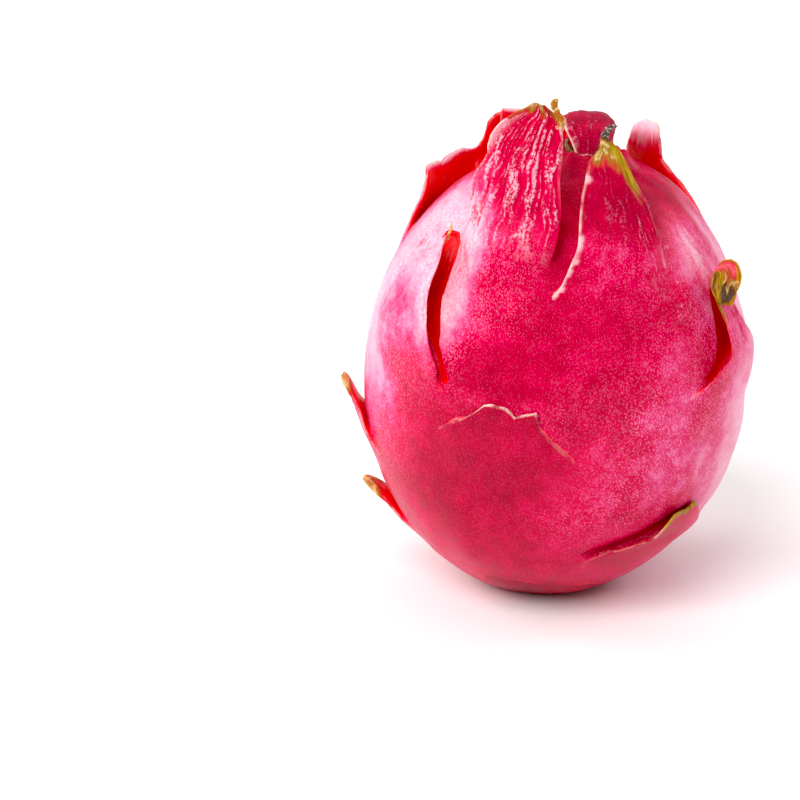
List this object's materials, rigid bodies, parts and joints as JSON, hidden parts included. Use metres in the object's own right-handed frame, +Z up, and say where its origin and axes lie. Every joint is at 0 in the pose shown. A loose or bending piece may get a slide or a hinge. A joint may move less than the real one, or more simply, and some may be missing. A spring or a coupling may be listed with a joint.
{
  "type": "dragon fruit",
  "caption": "Whole egg-shaped red dragon fruit standing on a small flat spot, with pointed scales round its sides and crown, a withered flower at the top and a cut stem below.",
  "frame": {"origin": "centre of the small flat spot that the fruit rests on", "axes": "+Z up and out of the crown, -Y the front as pictured, +X to the right; the fruit's own axis leans 8 degrees from +Z towards +X"},
  "size_m": [0.0962, 0.0973, 0.1213],
  "materials": {
    "fruit_skin": "waxy crimson-pink fruit skin with fine pale speckles, scarlet inside the scales, tan and olive at their dry tips",
    "withered_flower": "shrivelled dry plant fibre, tan to brown",
    "cut_stem": "dull olive rind with a pale dry cut end"
  },
  "bodies": {
    "root": {"fruit": "fruit_skin", "dried_flower": "withered_flower", "stem_stub": "cut_stem"}
  },
  "joints": []
}
